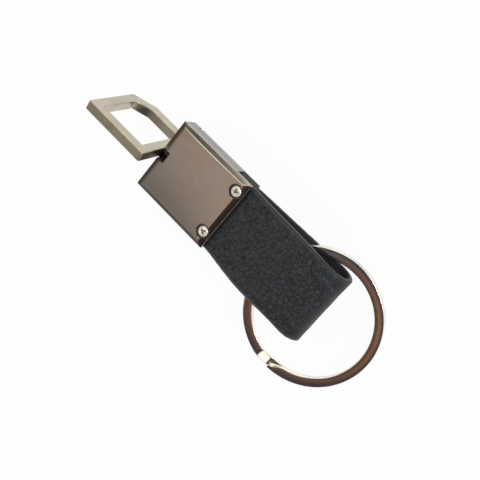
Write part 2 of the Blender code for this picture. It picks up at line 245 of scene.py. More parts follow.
class Wire:
    """A node's output. Python's operators on it add Math nodes."""

    def __init__(self, graph, socket):
        self.graph = graph
        self.socket = socket

    def math(self, operation, *values):
        return self.graph.node("ShaderNodeMath", {"operation": operation}, dict(enumerate(values)))

    def __add__(self, other):
        return self.math("ADD", self, other)

    def __radd__(self, other):
        return self.math("ADD", other, self)

    def __sub__(self, other):
        return self.math("SUBTRACT", self, other)

    def __rsub__(self, other):
        return self.math("SUBTRACT", other, self)

    def __mul__(self, other):
        return self.math("MULTIPLY", self, other)

    def __rmul__(self, other):
        return self.math("MULTIPLY", other, self)

    def __abs__(self):
        return self.math("ABSOLUTE", self)

    def sine(self):
        return self.math("SINE", self)

    def cosine(self):
        return self.math("COSINE", self)

    def most(self, other):
        return self.math("MAXIMUM", self, other)


class Graph:
    """The nodes of one material, world or geometry tree."""

    def __init__(self, tree):
        self.tree = tree
        tree.nodes.clear()

    def node(self, kind, settings=None, sockets=None, out=0):
        """Adds a node: its settings first, then its sockets' values and links. Gives one output."""
        made = self.tree.nodes.new(kind)
        for name, value in (settings or {}).items():
            setattr(made, name, value)
        for key, value in (sockets or {}).items():
            if isinstance(value, Wire):
                self.tree.links.new(value.socket, made.inputs[key])
            else:
                made.inputs[key].default_value = value
        return Wire(self, made.outputs[out]) if len(made.outputs) else made

    def vector(self, operation, *values, out=0):
        sockets = dict(enumerate(values))
        if operation == "SCALE":
            sockets = {0: values[0], "Scale": values[1]}
        return self.node("ShaderNodeVectorMath", {"operation": operation}, sockets, out)

    def mix(self, share, first, second, blend="MIX"):
        settings = {"data_type": "RGBA", "blend_type": blend}
        colours = [c if isinstance(c, Wire) else (*c, 1) for c in (first, second)]
        return self.node("ShaderNodeMix", settings, {0: share, 6: colours[0], 7: colours[1]}, 2)

    def step(self, value, start, end):
        """Rises smoothly from 0 to 1 as the value goes from start to end."""
        sockets = {"Value": value, 1: start, 2: end}
        return self.node("ShaderNodeMapRange", {"interpolation_type": "SMOOTHSTEP"}, sockets)

    def noise(self, place, scale, detail, roughness, distortion=0.0, stretch=None):
        if stretch:
            place = self.vector("MULTIPLY", place, stretch)
        sockets = {"Vector": place, "Scale": scale, "Detail": detail}
        sockets |= {"Roughness": roughness, "Distortion": distortion}
        return self.node("ShaderNodeTexNoise", None, sockets)

    def cells(self, place, scale, feature="DISTANCE_TO_EDGE"):
        sockets = {"Vector": place, "Scale": scale}
        return self.node("ShaderNodeTexVoronoi", {"feature": feature}, sockets)

    def bump(self, height, distance, strength=1.0, normal=None):
        sockets = {"Height": height, "Distance": distance, "Strength": strength}
        if normal is not None:
            sockets["Normal"] = normal
        return self.node("ShaderNodeBump", None, sockets)

    def split(self, vector):
        """The three numbers of a vector."""
        made = self.node("ShaderNodeSeparateXYZ", None, {0: vector}).socket.node
        return [Wire(self, made.outputs[index]) for index in range(3)]


def new_material(name):
    """(material, its graph, the object's own coordinates in millimetres)."""
    made = bpy.data.materials.new(name)
    made.use_nodes = True
    graph = Graph(made.node_tree)
    place = graph.node("ShaderNodeTexCoord", None, None, "Object")
    return made, graph, graph.vector("SCALE", place, 1 / MM)


def scaled(colour, share):
    return [channel * share for channel in colour]


def close_material(made, graph, colour, roughness, normal, metallic=0.0):
    """Ends a material in one Principled shader."""
    sockets = {"Base Color": colour, "Metallic": metallic, "Roughness": roughness, "Normal": normal}
    shader = graph.node("ShaderNodeBsdfPrincipled", None, sockets)
    graph.node("ShaderNodeOutputMaterial", None, {"Surface": shader})
    return made


def plated_metal(name, colour, roughness, smudge=0.5, metallic=1.0, walls=None):
    """Polished plating: soft cloudy smudges, fine rubbed lines and a slightly uneven gloss.

    walls is a darker colour and a height, in metres: below that height the colour turns to it, painted
    shade on the upright walls.
    """
    made, graph, place = new_material(name)
    clouds = graph.noise(place, 0.16, 3, 0.55, 0.6)
    wipes = graph.noise(place, 0.5, 3, 0.6, stretch=(0.35, 1.1, 0.6))
    lines = graph.noise(place, 1.0, 2, 0.6, stretch=(14.0, 0.8, 6.0))
    dust = graph.step(graph.noise(place, 5.5, 2, 0.6), 0.66, 0.74)
    shade = 1 - smudge * (0.30 * (clouds - 0.5) + 0.12 * (wipes - 0.5)) - 0.05 * dust
    warm = [channel * share for channel, share in zip(colour, (1.05, 0.98, 0.91))]
    tint = graph.mix(graph.step(clouds, 0.35, 0.65), colour, warm)
    # Painted shade: darker below the given height, on the upright walls.
    if walls:
        wall_shade_colour, height = walls
        _, _, z = graph.split(place)
        tint = graph.mix(graph.step(z, height / MM - 0.1, height / MM + 0.1), wall_shade_colour, tint)
    grey = graph.node("ShaderNodeCombineColor", None, {0: shade, 1: shade, 2: shade})
    painted = graph.mix(1.0, tint, grey, "MULTIPLY")
    gloss = roughness + 0.06 * (wipes - 0.4) + 0.05 * (lines - 0.5) + 0.10 * dust
    swell = graph.bump(graph.noise(place, 0.55, 2, 0.5), 0.004 * MM)
    height = graph.bump(lines, 0.0006 * MM, 0.5, swell)
    return close_material(made, graph, painted, gloss, height, metallic)


def satin_metal(name, colour, roughness, grain=(9.0, 1.2, 1.2)):
    """Brushed satin plating: short fine lines along the bars, dulled in faint patches."""
    made, graph, place = new_material(name)
    lines = graph.noise(place, 1.6, 3, 0.65, stretch=grain)
    patches = graph.noise(place, 0.30, 3, 0.5, 0.4)
    specks = graph.step(graph.noise(place, 6.0, 2, 0.5), 0.64, 0.72)
    tint = graph.mix(graph.step(patches, 0.30, 0.72), colour, scaled(colour, 0.86))
    painted = graph.mix(0.25 * specks, tint, scaled(colour, 0.55))
    gloss = roughness + 0.10 * (lines - 0.5) + 0.08 * (patches - 0.5)
    height = graph.bump(lines, 0.0035 * MM, 0.6)
    return close_material(made, graph, painted, gloss, height, 1.0)


def dull_shaded_metal(name, colour):
    """Dull plating whose dark colour is painted shade in hollows and recesses, with a fine uneven grain.
    """
    made, graph, place = new_material(name)
    grain = graph.noise(place, 4.0, 3, 0.6)
    painted = graph.mix(grain, scaled(colour, 0.6), scaled(colour, 1.4))
    gloss = 0.5 + 0.1 * grain
    height = graph.bump(grain, 0.004 * MM, 0.5)
    return close_material(made, graph, painted, gloss, height, 0.6)


def leather(strap, roughness=0.52):
    """Black pebbled leather with painted edges, a suede inside, fine creases at the bend, and painted
    shade and highlights in its colour.

    The strap's own map gives the way along it and the way round its section, here in
    millimetres: the outer face round 0, the right edge, the inner face and the left edge.
    """
    colour = strap.leather_colour
    made, graph, _ = new_material("black leather")
    place = graph.vector("SCALE", graph.node("ShaderNodeUVMap", {"uv_map": STRAP_MAP}), 1 / MM)
    along, round_section, _ = graph.split(place)
    half = HALF_STRAP / MM
    inner_start = half + strap.thickness / MM
    inner_end = inner_start + 2 * half
    right_edge = 1 - graph.step(round_section, inner_start, inner_start + 0.5)
    left_edge = graph.step(round_section, inner_end - 0.3, inner_end)
    edge = (graph.step(abs(round_section), half - 0.9, half - 0.1) * right_edge).most(left_edge)
    inside = graph.step(round_section, inner_start, inner_start + 0.4)
    inside = inside * (1 - graph.step(round_section, inner_end - 0.4, inner_end))
    # Painted highlight: a light line along the outer face's edges, before the dark painted edge.
    edge_highlight = 1 - graph.step(abs(round_section), half - 0.35, half + 0.15)
    skin = (1 - edge) * (1 - inside)

    from_bend = abs(along - strap.bend_along / MM)
    bend = 1 - graph.step(from_bend, 3.0, 9.0)
    crackle = graph.step(from_bend, 2.2, 4.2) * (1 - graph.step(from_bend, 12.0, 17.0))
    # Marks the strap's first millimetre out of the housing, for painted shade there.
    mouth_place = strap.tab_length / MM
    mouth = 1 - graph.step(along, mouth_place + 0.1, mouth_place + 1.3)

    wobble = graph.noise(place, 0.35, 3, 0.55)
    fine = graph.noise(place, 3.2, 4, 0.62)
    broken = graph.step(graph.noise(place, 1.1, 2, 0.5), 0.38, 0.62)
    drift = graph.node("ShaderNodeTexNoise", None, {"Vector": place, "Scale": 0.7, "Detail": 3.0}, 1)
    warped = graph.vector("ADD", place, graph.vector("SCALE", drift, 1.5))
    pebbles = graph.cells(warped, 0.85, "SMOOTH_F1")
    valley_line = (1 - graph.step(graph.cells(warped, 0.85), 0.0, 0.13)) * (0.35 + 0.65 * broken)
    small_line = (1 - graph.step(graph.cells(warped, 1.9), 0.0, 0.10)) * (1 - broken)
    ridge = (1 - graph.step(graph.cells(warped, 0.95), 0.0, 0.11)) * broken

    pebbled = 0.8 * (1 - pebbles) - 0.8 * valley_line - 0.3 * small_line
    relief = skin * ((1 - bend) * pebbled + 0.7 * crackle * ridge) + 0.14 * fine + 0.10 * wobble
    # Painted shade in the grain's valleys and fine lines. The leather is also darker towards the bend.
    lines = 1.1 * valley_line + 0.5 * small_line
    shade = 0.7 * (wobble - 0.5) + 0.35 * (fine - 0.5) - lines * (1 - bend) - 0.34 * bend
    # Painted highlights on the crackle's ridges with painted shade between them, and painted shade at the
    # housing's mouth.
    shade = skin * (shade + crackle * (1.3 * ridge - 0.2) - 0.35 * mouth)
    grain = graph.mix(0.42 + 0.6 * shade, scaled(colour, 0.22), scaled(colour, 2.2))
    # Painted highlight along the face's edges; the edge itself is darker.
    rim = graph.mix(edge_highlight, scaled(colour, 0.55), scaled(colour, 2.4))
    painted = graph.mix(inside, graph.mix(edge, grain, rim), scaled(colour, 0.6))
    gloss = roughness + 0.16 * (0.5 - fine) - 0.10 * edge + 0.28 * inside + 0.08 * valley_line
    height = graph.bump(relief, 0.13 * MM, 0.9)
    return close_material(made, graph, painted, gloss, height)


# Settings


def length(text, default):
    return FloatProperty(description=text, default=default, unit="LENGTH", precision=5)


def angle(text, degrees):
    return FloatProperty(description=text, default=math.radians(degrees), unit="ROTATION")


def number(text, default):
    return FloatProperty(description=text, default=default, min=0)


def whole(text, default):
    return IntProperty(description=text, default=default, min=1)


def vector(text, default):
    return FloatVectorProperty(description=text, default=default, unit="LENGTH")


def colour(text, default):
    return FloatVectorProperty(description=text, default=default, subtype="COLOR", min=0, max=1)


class HousingSettings(PropertyGroup):
    side_inset: length("How far the slope runs in from the sides", 0.0012)
    hook_inset: length("How far it runs in from the hook's end", 0.0015)
    leather_inset: length("How far it runs in from the leather's end", 0.0017)
    dome: length("How far the slope falls from the face to its crease", 0.0004)
    blend: number("Share of the slope that blends into the face", 0.42)
    bow: length("How far the line along the sides bows in midway", 0.0003)
    crease: length("Radius of the crease round the slope", 0.0001)
    tray_inset: length("How far the tray's rounding runs in", 0.0005)
    corner: length("Radius of the upright corners", 0.00022)
    wall: length("Thickness of the side walls", 0.0009)
    end_wall: length("Thickness of the wall at the hook", 0.0022)
    back_plate: length("Thickness of the back", 0.0011)
    face_plate: length("Thickness of the face", 0.0012)
    rib: length("Thickness of the rib that stops the strap", 0.0009)
    notch: length("Width of the notch over the swivel", 0.0030)
    pocket_depth: length("How far the stud's pocket runs in from the end wall", 0.0028)
    pocket_radius: length("Radius of the stud's pocket", 0.0022)
    seat_radius: length("Radius of the stud's seat in the end wall", 0.0014)
    boss_wall: length("Thickness of the bosses round their bores", 0.0004)
    bore_floor: length("Height of the bores' floor over the back", 0.0006)
    pry_length: length("Length of the pry notch", 0.0014)
    pry_height: length("Height of the pry notch", 0.0022)
    pry_depth: length("Depth of the pry notch", 0.0008)
    cover_colour: colour("Colour of the polished cover", (0.375, 0.365, 0.355))
    shell_colour: colour("Colour of the tray behind", (0.25, 0.245, 0.24))
    # Painted shade: the cover's upright walls, below the crease, are darker than its face.
    wall_shade_colour: colour("Colour of the cover's upright walls", (0.25, 0.245, 0.24))
    # Painted shade: the housing's hollows, holes, counterbores and notch take this dark colour for the
    # shade they lie in.
    inside_shade_colour: colour("Colour of the unpolished insides", (0.14, 0.125, 0.11))


class ScrewSettings(PropertyGroup):
    head_radius: length("Radius of a screw's head", 0.00125)
    head_height: length("Height of a screw's head", 0.00045)
    thread_radius: length("Radius of a screw's thread", 0.0007)
    side_setback: length("From the housing's side to a screw's axis", 0.00335)
    end_setback: length("From the leather's end to a screw's axis", 0.0021)
    count: whole("How many screws", 2)
    sunk: length("How far a head lies under the face", 0.0001)
    play: length("Room round a head in its counterbore", 0.00045)
    seat_gap: length("Room under a head", 0.0002)
    lip: length("Chamfer round the counterbores", 0.00007)
    tip: length("Height of a screw's tip over the back", 0.0009)
    pitch: length("Pitch of the thread", 0.0003)
    rim: length("Chamfer under a head's rim", 0.00006)
    cross_length: length("Half the length of the cross", 0.00082)
    cross_width: length("Half the width of the cross's arms", 0.00026)
    cross_depth: length("Depth of the cross", 0.00032)
    metal: colour("Colour of the screws", (0.92, 0.91, 0.86))
    # The crosses' dark green-grey is partly a duller finish and partly painted shade in the recesses.
    cross: colour("Colour inside the crosses", (0.30, 0.28, 0.17))


class StrapSettings(PropertyGroup):
    thickness: length("Thickness of the leather", 0.0014)
    bulge: length("How far the left edge bows out midway", 0.0007)
    loop_length: length("From the housing to the end of the loop", 0.0302)
    bend_radius: length("Outer radius of the bend", 0.00445)
    tab_length: length("Length of each end inside the housing", 0.0047)
    bend_along: length("Way along the strap to the middle of the bend", 0.0368)
    edge_round: length("Radius of the strap's edges", 0.00042)
    hole_radius: length("Radius of the holes round the bosses", 0.0017)
    free_length: length("How far out the housing still holds the strap flat", 0.006)
    bulge_length: length("Length of the left edge's bow", 0.0258)
    lift: length("Height of the faces' soft unevenness", 0.00010)
    wave: length("Height of the waves along the edges", 0.00016)
    ripple: length("How far the edges wander sideways", 0.00006)
    leather_colour: colour("Colour of the leather", (0.0255, 0.0305, 0.0365))


class HookSettings(PropertyGroup):
    square_side: length("From the stud's axis to the side with square corners", 0.0095)
    cut_side: length("From the stud's axis to the side with the cut corner", 0.0099)
    reach: length("Length of the frame", 0.0186)
    bar: length("Width of the frame's bars", 0.0026)
    thickness: length("Thickness of the frame", 0.0026)
    cut_width: length("Width of the slanted corner", 0.0034)
    cut_length: length("Length of the slanted corner", 0.0058)
    edge_round: length("Radius of the edges", 0.00034)
    turn: angle("Turn of the hook round the swivel", 77.1)
    socket_length: length("Depth of the stud's socket in the bar", 0.0016)
    socket_radius: length("Radius of the stud's socket", 0.0009)
    head_radius: length("Radius of the stud's head", 0.0019)
    head_thickness: length("Thickness of the stud's head", 0.0012)
    neck_radius: length("Radius of the stud's neck in the notch", 0.00125)
    collar_gap: length("From the housing to the stud's collar", 0.00005)
    collar_thickness: length("Thickness of the stud's collar", 0.0002)
    collar_radius: length("Radius of the stud's collar", 0.0021)
    spigot_length: length("How far the stud's spigot reaches out", 0.0016)
    spigot_radius: length("Radius of the stud's spigot", 0.0006)
    stud_round: length("Radius of the stud's edges", 0.00008)
    metal: colour("Colour of the satin plating", (0.58, 0.53, 0.43))
    washer_metal: colour("Colour of the thrust washer", (0.45, 0.44, 0.42))
    # The stud is near black: a dark steel that also stands in for the shade in the notch round it.
    stud_shaded_metal: colour("Colour of the swivel stud", (0.05, 0.05, 0.055))


class RingSettings(PropertyGroup):
    radius: length("Outer radius of the ring", 0.0160)
    band: length("Width of the wire", 0.0021)
    wire: length("Thickness of one turn", 0.00114)
    gap: length("Gap between the two turns", 0.00004)
    edge_round: length("Radius of the wire's edges", 0.0001)
    crown: length("How much the wire's flat sides rise in the middle", 0.00004)
    end_width: length("Width of the wire at its upper end", 0.0007)
    crossing_start: angle("Where the crossing starts", 75)
    crossing_sweep: angle("How far the crossing runs", 15)
    lower_end: angle("How far the lower turn stops before the crossing", 21)
    steps: whole("Steps in one turn", 288)
    end_taper: angle("How far the upper end's taper runs", 13)
    metal: colour("Colour of the bright plating", (0.96, 0.94, 0.90))


class StageSettings(PropertyGroup):
    floor_colour: colour("Colour of the floor", (0.90, 0.90, 0.90))
    floor_half: length("Half the side of the floor", 2.0)
    floor_gap: length("How far the floor lies under the object", 0.0001)
    camera_place: vector("Place of the camera", (-0.06247, -0.05989, 0.17925))
    lens: number("Focal length, in mm", 63.56)
    sensor: number("Width of the sensor, in mm", 36)
    light: number("Level of the soft light", 0.80)
    lamp_target: vector("What the lamp faces", (-0.012, 0, 0))
    lamp_way: vector("Way from there to the lamp", (-0.45, -0.35, 0.82))
    lamp_distance: length("How far away the lamp is", 0.8)
    lamp_length: length("Length of the lamp", 0.30)
    lamp_width: length("Width of the lamp", 0.20)
    lamp_power: number("Power of the lamp, in watts", 1.6)


SETTINGS = {
    "keychain_housing": HousingSettings,
    "keychain_screws": ScrewSettings,
    "keychain_strap": StrapSettings,
    "keychain_hook": HookSettings,
    "keychain_ring": RingSettings,
    "keychain_stage": StageSettings,
}


# Housing


def rounded_rectangle(x_range, y_range, radius, height, steps=6):
    """Points round a rectangle with small round corners, at one height."""
    points = []
    centres = (
        (x_range[1] - radius, y_range[1] - radius),
        (x_range[0] + radius, y_range[1] - radius),
        (x_range[0] + radius, y_range[0] + radius),
        (x_range[1] - radius, y_range[0] + radius),
    )
    for quarter, (x, y) in enumerate(centres):
        for step in range(steps + 1):
            turn = math.pi / 2 * (quarter + step / steps)
            points.append((x + radius * math.cos(turn), y + radius * math.sin(turn), height))
    return points


def stamped_lid(start, edge, dome, crease, insets, corner, blend, bow=0.0):
    """A shallow lid: upright sides from a start height, a crease, a slope, and a blend to the flat.

    insets says how far the slope runs in from the sides, the hook's end and the leather's end.
    blend is the share of that taken by the blend, and bow is how far the sides' line bows in midway.
    """
    side_inset, hook_inset, leather_inset = insets
    crease_steps = 5
    blend_steps = 10
    up = 1 if edge > start else -1
    fold = crease / side_inset
    slope = dome / (1 - blend / 2)

    def drop(share):
        if share > 1 - blend:
            return slope * (1 - share) ** 2 / (2 * blend)
        return slope * (1 - share - blend / 2)

    profile = [(0.0, start)]
    for step in range(crease_steps):
        share = step / crease_steps
        weights = ((1 - share) ** 2, 2 * share * (1 - share), share**2)
        fall = sum(part * weight for part, weight in zip((dome + crease, dome, drop(fold)), weights))
        profile.append((fold * share**2, edge - up * fall))
    shares = [fold, (fold + 1 - blend) / 2]
    shares += [1 - blend * (1 - step / blend_steps) for step in range(blend_steps + 1)]
    profile += [(share, edge - up * drop(share)) for share in shares]
    layers = []
    for share, height in profile:
        side = HALF_WIDTH - side_inset * share
        x_range = (LEATHER_END + leather_inset * share, HOOK_END - hook_inset * share)
        outline = rounded_rectangle(x_range, (-side, side), corner, height)
        layers.append(bowed_sides(outline, x_range, bow * share))
    return loft(layers)


def bowed_sides(outline, x_range, bow, steps=24):
    """Adds points along the two sides of a rounded rectangle, which then bow in midway."""
    fullness = 0.7
    points = []
    for before, after in zip(outline, outline[1:] + outline[:1]):
        points.append(before)
        if abs(after[0] - before[0]) > (x_range[1] - x_range[0]) / 2:
            for step in range(1, steps):
                share = step / steps
                x = before[0] + (after[0] - before[0]) * share
                y = before[1] - math.copysign(bow * math.sin(math.pi * share) ** fullness, before[1])
                points.append((x, y, before[2]))
    return points


def is_inside(face):
    """Whether a face of the housing belongs to its hollow, its holes or its notch."""
    margin = 0.00012
    skin = 0.0006
    looks_out = 0.4
    looks_back = -0.05
    x, y, z = face.center
    if not LEATHER_END + margin < x < HOOK_END - margin or abs(y) > HALF_WIDTH - margin:
        return False
    if z > FACE_HEIGHT - skin:
        return face.normal.z < looks_out and z < FACE_HEIGHT - margin
    return z > skin or face.normal.z > looks_back and z > margin


def rod(axis, centre, start, end, radius, steps=64):
    return turned([(start, 0), (start, radius), (end, radius), (end, 0)], axis, centre, steps)


def screw_places():
    """The places of the screws on the housing, from left to right."""
    screws = bpy.context.scene.keychain_screws
    x = LEATHER_END + screws.end_setback
    y = HALF_WIDTH - screws.side_setback
    return [(x, y, 0), (x, -y, 0)]


def hollow_ends():
    """Where the slots at the leather's end stop, and where the wall at the hook starts."""
    scene = bpy.context.scene
    slot_end = LEATHER_END + scene.keychain_strap.tab_length + FIT_GAP
    return slot_end, HOOK_END - scene.keychain_housing.end_wall


def swivel_rod(start, end, radius):
    return rod("X", (0, 0, MID_HEIGHT), start, end, radius)


def stud_pocket(housing):
    """The hollow for the stud's head. It stops a sliver short of the end wall."""
    wall = hollow_ends()[1]
    return swivel_rod(wall - housing.pocket_depth, wall - SLIVER, housing.pocket_radius)


def counterbore(screws, centre):
    """The sunk hole for a screw's head, with a small chamfer round its mouth."""
    floor = FACE_HEIGHT - screws.sunk - screws.head_height - screws.seat_gap
    radius = screws.head_radius + screws.play
    mouth = radius + 2 * screws.lip
    profile = [
        (floor, 0),
        (floor, radius),
        (FACE_HEIGHT - screws.lip, radius),
        (FACE_HEIGHT + screws.lip, mouth),
        (FACE_HEIGHT + OVERRUN, mouth),
        (FACE_HEIGHT + OVERRUN, 0),
    ]
    return turned(profile, "Z", centre)


class KEYCHAIN_OT_cover(Operator):
    """Makes the polished front cover of the housing."""

    bl_idname = "keychain.cover"
    bl_label = "Front Cover"

    def execute(self, context):
        housing = context.scene.keychain_housing
        screws = context.scene.keychain_screws
        bottom = COVER_LOW.z
        insets = (housing.side_inset, housing.hook_inset, housing.leather_inset)
        sizes = (housing.dome, housing.crease, insets, housing.corner, housing.blend, housing.bow)
        obj = object_from("cover_polished", stamped_lid(bottom, FACE_HEIGHT, *sizes))
        slot_end, wall = hollow_ends()
        hollow = HALF_WIDTH - housing.wall
        wide = HALF_WIDTH + OVERRUN
        half_notch = housing.notch / 2
        right_half = [
            (LEATHER_END - OVERRUN, -wide),
            (slot_end, -wide),
            (slot_end, -hollow),
            (wall, -hollow),
        ]
        outline = right_half + [(x, -y) for x, y in reversed(right_half)]
        heights = (bottom - OVERRUN, FACE_HEIGHT - housing.face_plate)
        notch = ((wall, HOOK_END + OVERRUN), (-half_notch, half_notch))
        cuts = [
            loft([[(x, y, z) for x, y in outline] for z in heights]),
            box_mesh(*notch, (bottom - OVERRUN, FACE_HEIGHT + OVERRUN)),
            stud_pocket(housing),
        ]
        for centre in screw_places():
            cuts.append(counterbore(screws, centre))
            cuts.append(rod("Z", centre, bottom, FACE_HEIGHT, screws.thread_radius + FIT_GAP, 32))
        join_or_cut(obj, [("DIFFERENCE", cut) for cut in cuts])
        # Painted shade on the cover's upright walls, below the crease.
        walls = (housing.wall_shade_colour, FACE_HEIGHT - housing.dome - housing.crease)
        metal = plated_metal("gunmetal cover", housing.cover_colour, 0.12, walls=walls)
        # Painted shade: the cover's hollow, counterbores and notch are painted dark.
        inner = (dull_shaded_metal("cover inside", housing.inside_shade_colour), is_inside)
        finish_piece(obj, metal, "housing", "gunmetal", "front_cover", inner=inner)
        return {"FINISHED"}


class KEYCHAIN_OT_tray(Operator):
    """Makes the tray behind the cover, with its strap stop, bosses, side slots and pry notch."""

    bl_idname = "keychain.tray"
    bl_label = "Tray"

    def execute(self, context):
        housing = context.scene.keychain_housing
        top = MID_HEIGHT - HALF_SEAM
        rounding = housing.tray_inset
        sizes = (rounding / 2, rounding / 2, [rounding] * 3, housing.corner, 0.5)
        obj = object_from("tray_shell", stamped_lid(top, 0, *sizes))
        slot_end, wall = hollow_ends()
        bays = (
            ((LEATHER_END - OVERRUN, slot_end), HALF_WIDTH + OVERRUN),
            ((slot_end + housing.rib, wall), HALF_WIDTH - housing.wall),
        )
        steps = [
            ("DIFFERENCE", box_mesh(x_range, (-wide, wide), (housing.back_plate, top + OVERRUN)))
            for x_range, wide in bays
        ]
        bore = context.scene.keychain_screws.thread_radius + FIT_GAP
        boss = (housing.back_plate / 2, FACE_HEIGHT - housing.face_plate - FIT_GAP)
        for centre in screw_places():
            steps.append(("UNION", rod("Z", centre, *boss, bore + housing.boss_wall, 48)))
            steps.append(("DIFFERENCE", rod("Z", centre, housing.bore_floor, FACE_HEIGHT, bore, 32)))
        pry = [(wall - housing.pry_length, -OVERRUN), (wall, -OVERRUN), (wall, housing.pry_height)]
        sides = (-HALF_WIDTH - OVERRUN, -HALF_WIDTH + housing.pry_depth)
        steps += [
            ("DIFFERENCE", stud_pocket(housing)),
            ("DIFFERENCE", swivel_rod(wall - OVERRUN, HOOK_END + OVERRUN, housing.seat_radius)),
            ("DIFFERENCE", loft([[(x, y, z) for x, z in pry] for y in sides])),
        ]
        join_or_cut(obj, steps)
        metal = plated_metal("gunmetal tray", housing.shell_colour, 0.20)
        # Painted shade: the tray's hollow, bores and pocket are painted dark.
        inner = (dull_shaded_metal("tray inside", housing.inside_shade_colour), is_inside)
        finish_piece(obj, metal, "housing", "shell_gunmetal", "back_shell", inner=inner)
        return {"FINISHED"}


# Geometry trees

SOCKET_KINDS = {int: "Int", float: "Float", Vector: "Vector", bpy.types.Material: "Material"}


def geometry_tree(name, values):
    """(tree, its graph, the wires of its inputs), with a named input for each value."""
    tree = bpy.data.node_groups.new(name, "GeometryNodeTree")
    tree.is_modifier = True
    graph = Graph(tree)
    tree.interface.new_socket("Geometry", in_out="INPUT", socket_type="NodeSocketGeometry")
    for label, value in values.items():
        kind = "NodeSocket" + SOCKET_KINDS[type(value)]
        tree.interface.new_socket(label, in_out="INPUT", socket_type=kind)
    tree.interface.new_socket("Geometry", in_out="OUTPUT", socket_type="NodeSocketGeometry")
    entry = graph.node("NodeGroupInput").socket.node
    wires = {socket.name: Wire(graph, socket) for socket in entry.outputs if socket.name}
    return tree, graph, wires


def run_tree(obj, tree, values):
    """Runs a tree on the object with these input values, and keeps the plain mesh."""
    modifier = obj.modifiers.new(tree.name, "NODES")
    modifier.node_group = tree
    for socket in tree.interface.items_tree:
        if socket.name in values:
            modifier[socket.identifier] = values[socket.name]
    obj.update_tag()
    bake(obj)


def end_tree(graph, geometry, material):
    """Ends a tree: real copies, then their material."""
    real = graph.node("GeometryNodeRealizeInstances", None, {0: geometry})
    painted = graph.node("GeometryNodeSetMaterial", None, {"Geometry": real, "Material": material})
    graph.node("NodeGroupOutput", None, {0: painted})


def screw_tree(values):
    """Sets copies of one screw in a row across the housing, each turned by chance."""
    tree, graph, wires = geometry_tree("screws in place", values)
    sockets = {
        "Count": wires["Count"],
        "Start Location": wires["First place"],
        "Offset": wires["Step to the next"],
    }
    row = graph.node("GeometryNodeMeshLine", {"mode": "OFFSET"}, sockets)
    sockets = {2: wires["Least turn"], 3: wires["Most turn"], "Seed": wires["Chance"]}
    chance = graph.node("FunctionNodeRandomValue", {"data_type": "FLOAT"}, sockets, 1)
    turn = graph.node("ShaderNodeCombineXYZ", None, {2: chance})
    sockets = {"Points": row, "Instance": wires["Geometry"], "Rotation": turn}
    placed = graph.node("GeometryNodeInstanceOnPoints", None, sockets)
    end_tree(graph, placed, wires["Metal"])
    return tree


CROWN_SHARES = (
    (0.36, 1.0),
    (0.50, 0.975),
    (0.64, 0.92),
    (0.77, 0.82),
    (0.87, 0.68),
    (0.94, 0.50),
    (0.985, 0.28),
    (1.0, 0.0),
)
UNDERSIDE_SHARE = 0.96
VALLEY_SHARE = 0.86
CROSS_SHARES = (0.62, 1.0, 1.25)


def screw_profile(screws):
    """(height, radius) points of a screw, from its tip over its thread to its domed head."""
    thread = screws.thread_radius
    head = screws.head_radius
    base = FACE_HEIGHT - screws.sunk - screws.head_height
    along = screws.tip + thread / 2
    profile = [(screws.tip, 0), (screws.tip, thread / 2), (along, thread)]
    while along + screws.pitch < base - screws.seat_gap:
        valley = (along + screws.pitch / 2, thread * VALLEY_SHARE)
        profile += [valley, (along + screws.pitch, thread)]
        along += screws.pitch
    profile += [(base, thread), (base, head * UNDERSIDE_SHARE), (base + screws.rim, head)]
    return profile + [(base + screws.head_height * up, head * out) for up, out in CROWN_SHARES]


def screw_cross(screws):
    """The two arms of the cross, which narrow towards their floor."""
    top = FACE_HEIGHT - screws.sunk
    heights = (top - screws.cross_depth, top - screws.rim, top + OVERRUN)
    arms = []
    for half_x, half_y in (
        (screws.cross_length, screws.cross_width),
        (screws.cross_width, screws.cross_length),
    ):
        corners = ((half_x, half_y), (-half_x, half_y), (-half_x, -half_y), (half_x, -half_y))
        levels = zip(heights, CROSS_SHARES)
        arms.append(loft([[(x * share, y * share, z) for x, y in corners] for z, share in levels]))
    return arms


def in_cross(face):
    """Whether a face is a wall or the floor of a screw's cross."""
    screws = bpy.context.scene.keychain_screws
    top = FACE_HEIGHT - screws.sunk
    from_axis = min(math.dist(face.center[:2], place[:2]) for place in screw_places())
    under = top - face.center.z
    if from_axis > 0.8 * screws.head_radius or under > 0.95 * screws.head_height:
        return False
    return abs(face.normal.z) < 0.75 or under > 0.7 * screws.cross_depth


class KEYCHAIN_OT_screws(Operator):
    """Makes the two pan-head screws."""

    bl_idname = "keychain.screws"
    bl_label = "Screws"

    def execute(self, context):
        screws = context.scene.keychain_screws
        obj = object_from("screws_steel", turned(screw_profile(screws), "Z", (0, 0, 0)))
        join_or_cut(obj, [("DIFFERENCE", arm) for arm in screw_cross(screws)])
        metal = plated_metal("bright screw steel", screws.metal, 0.27, smudge=0.3, metallic=0.45)
        first, last = (Vector(place) for place in screw_places())
        values = {
            "First place": first,
            "Step to the next": last - first,
            "Count": screws.count,
            "Chance": 4,
            "Least turn": 0.15,
            "Most turn": 1.2,
            "Metal": metal,
        }
        run_tree(obj, screw_tree(values), values)
        # Partly painted shade: the crosses' faces take a darker, duller material.
        inner = (dull_shaded_metal("screw cross", screws.cross), in_cross)
        finish_piece(obj, metal, "housing", "screw_steel", "screw_left", "screw_right", inner=inner)
        return {"FINISHED"}


# Strap


